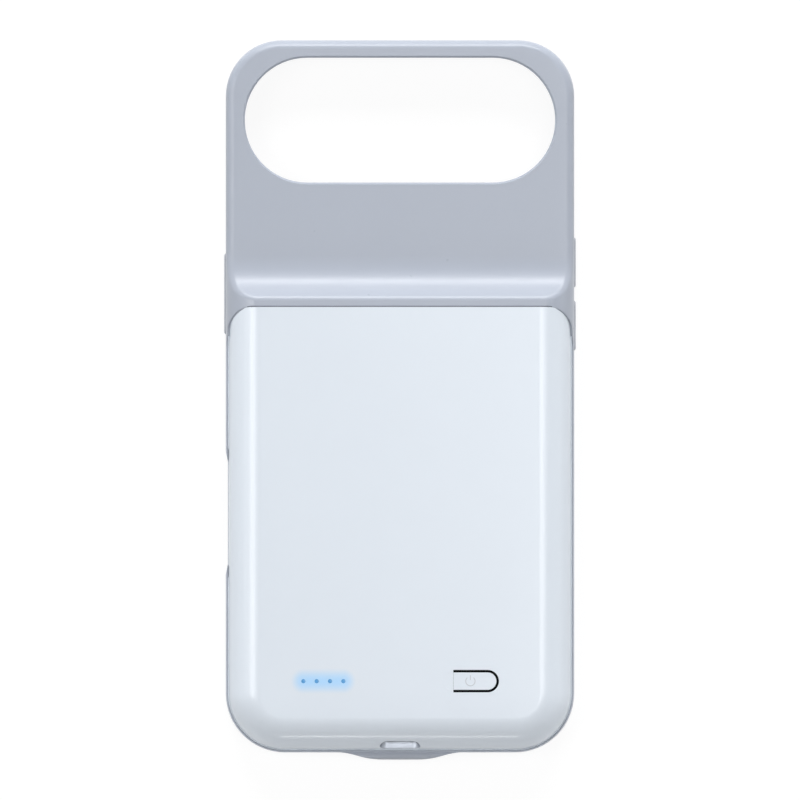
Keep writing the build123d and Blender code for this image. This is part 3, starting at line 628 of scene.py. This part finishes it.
def ring_stroke(middle, radius, width, height, start, end):
    """Stroke along an arc, at even angles and one radius about the middle."""
    turn = np.linspace(start, end, ARC_POINTS)
    across = np.stack([np.cos(turn), np.sin(turn), np.zeros_like(turn)], axis=-1)
    return stroke(np.array(middle) + radius * across, across, radius * (end - start), width, height)


def bar_stroke(middle, length, width, height):
    """Stroke along Y, with half its length on each side of the middle."""
    step = np.linspace(-0.5, 0.5, BAR_POINTS)
    line = np.array(middle) + np.outer(step, [0.0, length, 0.0])
    across = np.tile([1.0, 0.0, 0.0], (len(step), 1))
    return stroke(line, across, length, width, height)


def rim_line(half, low, high, corner, count):
    """Flat line down a left side, along a bottom end and up a right side, the way across it and its step.

    Its heading turns by a quarter over the length of each corner, and a point's place is the sum of the even
    steps that lead to it, each along the mean of the headings at its two ends.
    """
    quarter = math.pi / 2
    side = high - low - corner
    bend = corner * quarter
    end = 2 * (half - corner)
    run, step = np.linspace(0.0, 2 * side + 2 * bend + end, count, retstep=True)
    first_turn = np.clip((run - side) / corner, 0.0, quarter)
    second_turn = np.clip((run - side - bend - end) / corner, 0.0, quarter)
    heading = first_turn + second_turn - quarter
    along = np.stack([np.cos(heading), np.sin(heading), np.zeros_like(run)], axis=-1)
    across = np.stack([along[:, 1], -along[:, 0], along[:, 2]], axis=-1)
    steps = np.concatenate([np.zeros((1, 3)), step * (along[1:] + along[:-1]) / 2])
    return np.array([-half, high, 0.0]) + np.cumsum(steps, axis=0), across, step


def softbox(lamp, radiance):
    """Lamp that faces the case: its power is its radiance times its area times pi.

    A lamp that isn't mirrored lights the case as one behind a cloth does, with no image of it in gloss.
    """
    name = f"{lamp.name}_lamp"
    light = bpy.data.lights.new(name, "AREA")
    light.shape = "RECTANGLE"
    light.size = lamp.width
    light.size_y = lamp.height
    light.energy = radiance * lamp.width * lamp.height * math.pi
    box = bpy.data.objects.new(name, light)
    box.location = lamp.middle
    box.rotation_euler = (-Vector(lamp.middle)).to_track_quat("-Z", "Y").to_euler()
    box.visible_camera = False
    box.visible_glossy = lamp.mirrored
    bpy.context.scene.collection.objects.link(box)


def show_by_ray(tree, seen, unseen, output):
    """Joins two shaders to the output: one that eye, gloss and glass see, and one for all other rays."""
    ray = add_node(tree, "ShaderNodeLightPath").outputs
    either = arithmetic(tree, "MAXIMUM", ray["Is Camera Ray"], ray["Is Glossy Ray"])
    any_of = arithmetic(tree, "MAXIMUM", either, ray["Is Transmission Ray"])
    mix = add_node(tree, "ShaderNodeMixShader", Fac=any_of)
    join(tree, mix.inputs[1], unseen.outputs[0])
    join(tree, mix.inputs[2], seen.outputs[0])
    join(tree, tree.nodes[output].inputs["Surface"], mix.outputs[0])


class CASE_OT_soft_edges(bpy.types.Operator):
    """Join each CAD node's faces, round its moulded edges a little and smooth its shading"""

    bl_idname = "case.soft_edges"
    bl_label = "Soft edges"

    def execute(self, context):
        group = smooth_group()
        rounded = (
            "bumper_frame", "back_cover", "power_button", "side_key", "volume_up_key", "volume_down_key",
        )
        for name, node in NODES.items():
            joined = node.modifiers.new("Joined faces", "NODES")
            joined.node_group = group
            if name in rounded:
                bevel = node.modifiers.new("Moulded edges", "BEVEL")
                bevel.width = context.scene.charging_case.shell.edge_width
                bevel.segments = BEVEL_SEGMENTS
                bevel.limit_method = "ANGLE"
                bevel.angle_limit = BEVEL_ANGLE
            normals = node.modifiers.new("Even shading", "WEIGHTED_NORMAL")
            normals.mode = "FACE_AREA_WITH_ANGLE"
            normals.keep_sharp = True
        return {"FINISHED"}


class CASE_OT_shell(bpy.types.Operator):
    """Finish the soft frame, its keys, the glossy cover, the button and the seal in its slot"""

    bl_idname = "case.shell"
    bl_label = "Shell"

    def execute(self, context):
        names = [
            "bumper_frame", "side_key", "volume_up_key", "volume_down_key", "back_cover", "power_button",
            "button_gasket",
        ]
        dress(names, context.scene.charging_case)
        return {"FINISHED"}


class CASE_OT_power_pack(bpy.types.Operator):
    """Finish the mid plate, the cell with its pads and leads, and the boards with their parts"""

    bl_idname = "case.power_pack"
    bl_label = "Power pack"

    def execute(self, context):
        names = [
            "mid_plate", "battery_cell", "cell_tabs", "protection_board", "lead_positive", "lead_negative",
            "cell_adhesive", "cell_foam", "main_board", "charge_chip", "boost_inductor", "board_capacitors",
            "indicator_leds", "light_guide", "tact_switch", "switch_plunger", "flat_cable",
        ]
        dress(names, context.scene.charging_case)
        return {"FINISHED"}


class CASE_OT_connectors(bpy.types.Operator):
    """Finish the charging port and the plug in the pocket"""

    bl_idname = "case.connectors"
    bl_label = "Connectors"

    def execute(self, context):
        names = [
            "charge_port_shell", "charge_port_tongue", "charge_port_contacts", "plug_shell", "plug_liner",
            "plug_contacts", "plug_carrier", "plug_board",
        ]
        dress(names, context.scene.charging_case)
        return {"FINISHED"}


class CASE_OT_joint_seal(bpy.types.Operator):
    """Lay a soft seal in the joint between the frame's rim and the cover, broken off along the notch.

    Towards its two ends it climbs with the rim, on a circle's arc up to a limit, and grows inwards with its
    height, because the cover rounds away from the rim there.
    """

    bl_idname = "case.joint_seal"
    bl_label = "Joint seal"

    def execute(self, context):
        settings = context.scene.charging_case
        seal = settings.seal
        low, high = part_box("back_cover")
        end_y = high.y - seal.seal_end
        line, across, step = rim_line(high.x, low.y, end_y, seal.seal_corner, SEAL_POINTS)
        past = np.clip(line[:, 1] - end_y + seal.climb_length, 0.0, seal.climb_length)
        climb = np.minimum(seal.climb_length - np.sqrt(seal.climb_length**2 - past**2), seal.climb_height)
        growth = seal.climb_growth * climb
        line -= across * growth[:, None] / 2
        line[:, 2] = seal.seal_level + climb
        width = seal.seal_width + growth
        notch_y = CAD_BOX[1][1] - seal.notch_from_top
        notch = np.flatnonzero((line[:, 0] < 0.0) & (abs(line[:, 1] - notch_y) < seal.notch_length / 2))
        strokes = []
        for run in (slice(0, notch[0]), slice(notch[-1] + 1, len(line))):
            length = step * (len(line[run]) - 1)
            strokes.append(stroke(line[run], across[run], length, width[run], seal.seal_height))
        surface("joint_seal", strokes, "case", finish_for("cover_gloss", settings))
        return {"FINISHED"}


class CASE_OT_shoulder_seal(bpy.types.Operator):
    """Lay a dark bead in the joint between the frame's shoulder and the cover's upper end, as painted shade
    for the joint's shadow line.

    In plan it goes up the cover's left side, along its upper end and down its right side. Where it faces the
    window it lies outside the cover's outline, where it faces sideways inside it, and between them in
    proportion. Its height is that of the shoulder beside it, which is flat along the upper end and falls
    towards the frame's sides as a circle's arc does. The straight and the two bends are separate mouldings.
    """

    bl_idname = "case.shoulder_seal"
    bl_label = "Shoulder seal"

    def execute(self, context):
        settings = context.scene.charging_case
        seal = settings.seal
        arc = settings.port.cover_round
        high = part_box("back_cover")[1]
        flat, outwards, step = rim_line(
            high.x, -high.y, seal.bead_end - high.y, seal.bead_corner, SEAL_POINTS
        )
        turned = np.array([1.0, -1.0, 1.0])
        line = flat * turned
        across = outwards * turned
        sideways = abs(across[:, 0])
        from_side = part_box("bumper_frame")[1].x - abs(line[:, 0] + across[:, 0] * seal.joint_gap)
        fall = np.where(sideways < FLAT_FACING, 0.0, np.clip(arc - from_side, 0.0, arc))
        line[:, 2] = COVER_TOP - seal.shoulder_drop - arc + np.sqrt(arc**2 - fall**2) - seal.bead_sink
        line += across * (seal.bead_out - (seal.bead_out + seal.bead_in) * sideways[:, None])
        straight = np.flatnonzero(sideways < STRAIGHT_FACING)
        first, last = straight[0], straight[-1]
        bends = [slice(0, first + LAP_STEPS), slice(last - LAP_STEPS, len(line))]
        # Painted shade: the straight is darkened to the joint's shadow, and the bends less, since they lie in
        # deeper shade
        mouldings = {
            "shoulder_seal": (seal.bead_share, [slice(first, last)]),
            "corner_seals": (seal.corner_share, bends),
        }
        for name, (share, runs) in mouldings.items():
            beads = []
            for run in runs:
                length = step * (len(line[run]) - 1)
                beads.append(stroke(line[run], across[run], length, seal.bead_width, seal.bead_height))
            # The bead's colour is the frame's colour darkened as painted shade
            rubber = dull_seal_and_shade(name, shade(settings.shell.frame_colour, share), tint=0.02)
            surface(name, beads, "case", rubber.material)
        return {"FINISHED"}


class CASE_OT_port_lip(bpy.types.Operator):
    """Line the lower half of the port's opening with a thin steel lip, whose darkened, bluish steel paints
    the lit tone of that wall.

    The opening is a slot with round ends. From front to back the lip runs from the cover's rounded face,
    which lies behind the cover's end as a circle's arc does at that height, to the port's mouth.
    """

    bl_idname = "case.port_lip"
    bl_label = "Port lip"

    def execute(self, context):
        port = context.scene.charging_case.port
        cover_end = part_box("back_cover")[0].y
        half_height = port.port_height / 2
        flat, outwards, step = rim_line(
            port.port_width / 2, port.port_level - half_height, port.port_level, half_height, ARC_POINTS
        )
        level = flat[:, 1]
        rise = level - COVER_TOP + port.cover_round
        front = port.cover_round - np.sqrt(port.cover_round**2 - rise**2) + port.lip_margin
        line = np.stack([flat[:, 0], cover_end + (front + port.lip_back) / 2, level], axis=-1)
        across = np.tile([0.0, 1.0, 0.0], (len(line), 1))
        inwards = np.stack([-outwards[:, 0], np.zeros_like(level), -outwards[:, 1]], axis=-1)
        length = step * (len(line) - 1)
        lip = stroke(line, across, length, port.lip_back - front, port.lip_thickness, inwards)
        # The lip's steel carries the painted lit tone of the opening's lower wall
        steel = brushed("port_lip", tuple(port.lip_colour), roughness=0.4, along="X")
        surface("port_lip", [lip], "case", steel.material)
        return {"FINISHED"}


class CASE_OT_charge_lights(bpy.types.Operator):
    """Set a small lens on each light's post"""

    bl_idname = "case.charge_lights"
    bl_label = "Charge lights"

    def execute(self, context):
        settings = context.scene.charging_case
        lights = settings.lights
        steps = np.arange(lights.light_count) - (lights.light_count - 1) / 2
        domes = []
        for x in LIGHTS_X + steps * lights.light_pitch:
            domes.append(lens_dome((x, CONTROLS_Y, LIGHTS_HIGH.z), lights.lens_radius, lights.lens_crown))
        surface("charge_lenses", domes, "case", finish_for("guide_blue", settings))
        return {"FINISHED"}


class CASE_OT_power_mark(bpy.types.Operator):
    """Print the power mark on the button: an open ring with a short bar in its opening"""

    bl_idname = "case.power_mark"
    bl_label = "Power mark"

    def execute(self, context):
        marks = context.scene.charging_case.marks
        radius = marks.mark_radius
        start = math.pi / 2 + marks.mark_opening / 2
        end = math.pi * 2.5 - marks.mark_opening / 2
        middle = Vector((marks.mark_x, CONTROLS_Y, BUTTON_HIGH.z))
        ring = ring_stroke(middle, radius, marks.mark_stroke, marks.mark_height, start, end)
        bar_middle = middle + Vector((0.0, radius * BAR_RISE, 0.0))
        bar = bar_stroke(bar_middle, radius * BAR_LENGTH, marks.mark_stroke, marks.mark_height)
        ink = moulded("mark_ink", tuple(marks.mark_colour), *MARK_INK)
        surface("power_mark", [ring, bar], "power_button", ink.material)
        return {"FINISHED"}


class CASE_OT_root_ring(bpy.types.Operator):
    """Draw the moulded half ring round the button's root"""

    bl_idname = "case.root_ring"
    bl_label = "Root ring"

    def execute(self, context):
        settings = context.scene.charging_case
        marks = settings.marks
        middle = (BUTTON_LOW.x, CONTROLS_Y, COVER_TOP)
        start, end = math.pi / 2, math.pi * 1.5
        ring = ring_stroke(middle, marks.ring_radius, marks.ring_width, marks.mark_height, start, end)
        surface("button_root_ring", [ring], "case", finish_for("cover_gloss", settings))
        return {"FINISHED"}


class CASE_OT_stage(bpy.types.Operator):
    """Set the pale floor, the soft lamps, the even light and the camera"""

    bl_idname = "case.stage"
    bl_label = "Studio"

    def execute(self, context):
        scene = context.scene
        studio = scene.charging_case.studio
        self.lay_floor(scene)
        self.light_world(scene, studio)
        for lamp in LAMPS:
            softbox(lamp, getattr(studio, f"{lamp.name}_strength"))
        self.place_camera(scene, studio)
        scene.view_settings.view_transform = "Standard"
        return {"FINISHED"}

    def lay_floor(self, scene):
        """Flat square floor: white to the eye, pale and plain to the light that bounces from it."""
        reach = np.linspace(-FLOOR_REACH, FLOOR_REACH, 3)
        x, y = np.meshgrid(reach, reach, indexing="ij")
        points = np.stack([x, y, np.full_like(x, FLOOR_LEVEL)], axis=-1).reshape(-1, 3)
        mesh = bpy.data.meshes.new("floor")
        mesh.from_pydata(points, [], grid_squares(*x.shape).tolist())
        material = bpy.data.materials.new("floor_white")
        material.use_nodes = True
        tree = material.node_tree
        tree.nodes.remove(tree.nodes["Principled BSDF"])
        pale = add_node(tree, "ShaderNodeBsdfDiffuse", Color=FLOOR_BOUNCE)
        shadowed = add_node(tree, "ShaderNodeBsdfDiffuse", Color=FLOOR_SHADOW)
        glow = add_node(tree, "ShaderNodeEmission", Color=WHITE, Strength=FLOOR_GLOW)
        white = add_node(tree, "ShaderNodeAddShader")
        join(tree, white.inputs[0], shadowed.outputs[0])
        join(tree, white.inputs[1], glow.outputs[0])
        show_by_ray(tree, white, pale, "Material Output")
        mesh.materials.append(material)
        floor = bpy.data.objects.new("floor", mesh)
        scene.collection.objects.link(floor)

    def light_world(self, scene, studio):
        """Even light that grows with the square of its height, and that eye, gloss and glass see as white."""
        world = bpy.data.worlds.new("studio")
        world.use_nodes = True
        tree = world.node_tree
        place = add_node(tree, "ShaderNodeTexCoord").outputs["Generated"]
        height = add_node(tree, "ShaderNodeSeparateXYZ", Vector=place).outputs["Z"]
        square = arithmetic(tree, "MULTIPLY", height, height)
        strength = arithmetic(tree, "MULTIPLY_ADD", square, studio.sky_strength, studio.fill_strength)
        even = tree.nodes["Background"]
        join(tree, even.inputs["Color"], WHITE)
        join(tree, even.inputs["Strength"], strength)
        white = add_node(tree, "ShaderNodeBackground", Color=WHITE)
        show_by_ray(tree, white, even, "World Output")
        scene.world = world

    def place_camera(self, scene, studio):
        """Camera straight above the case: its lens gives the view's width at half the case's height."""
        data = bpy.data.cameras.new("camera")
        level = COVER_TOP / 2
        data.lens = data.sensor_width * (studio.camera_height - level) / studio.view_width
        camera = bpy.data.objects.new("camera", data)
        camera.location = (0.0, 0.0, studio.camera_height)
        scene.collection.objects.link(camera)
        scene.camera = camera


class CASE_PT_panel(bpy.types.Panel):
    """Steps that finish the charging case, in order, and its settings"""

    bl_label = "Charging case"
    bl_idname = "CASE_PT_panel"
    bl_space_type = "VIEW_3D"
    bl_region_type = "UI"
    bl_category = "Charging case"

    def draw(self, context):
        column = self.layout.column(align=True)
        for step in STEPS:
            column.operator(step.bl_idname)
        settings = context.scene.charging_case
        for part in settings.__annotations__:
            group = getattr(settings, part)
            box = self.layout.box()
            for name in group.__annotations__:
                box.prop(group, name)


SETTINGS = (
    ShellSettings, SealSettings, PortSettings, LightSettings, MarkSettings, StudioSettings, SceneSettings,
)
STEPS = (
    CASE_OT_soft_edges, CASE_OT_shell, CASE_OT_power_pack, CASE_OT_connectors, CASE_OT_joint_seal,
    CASE_OT_shoulder_seal, CASE_OT_port_lip, CASE_OT_charge_lights, CASE_OT_power_mark, CASE_OT_root_ring,
    CASE_OT_stage,
)
CLASSES = (*SETTINGS, *STEPS, CASE_PT_panel)


def register():
    """Adds the settings, the steps and the panel to Blender."""
    for entry in CLASSES:
        bpy.utils.register_class(entry)
    bpy.types.Scene.charging_case = PointerProperty(
        type=SceneSettings, name="Charging case", description="Settings of the charging case"
    )


def unregister():
    """Takes the settings, the steps and the panel out of Blender again."""
    del bpy.types.Scene.charging_case
    for entry in reversed(CLASSES):
        bpy.utils.unregister_class(entry)


def main():
    """Runs every step in order."""
    register()
    bpy.ops.case.soft_edges()
    bpy.ops.case.shell()
    bpy.ops.case.power_pack()
    bpy.ops.case.connectors()
    bpy.ops.case.joint_seal()
    bpy.ops.case.shoulder_seal()
    bpy.ops.case.port_lip()
    bpy.ops.case.charge_lights()
    bpy.ops.case.power_mark()
    bpy.ops.case.root_ring()
    bpy.ops.case.stage()
    bpy.context.view_layer.update()


if __name__ == "__main__":
    main()
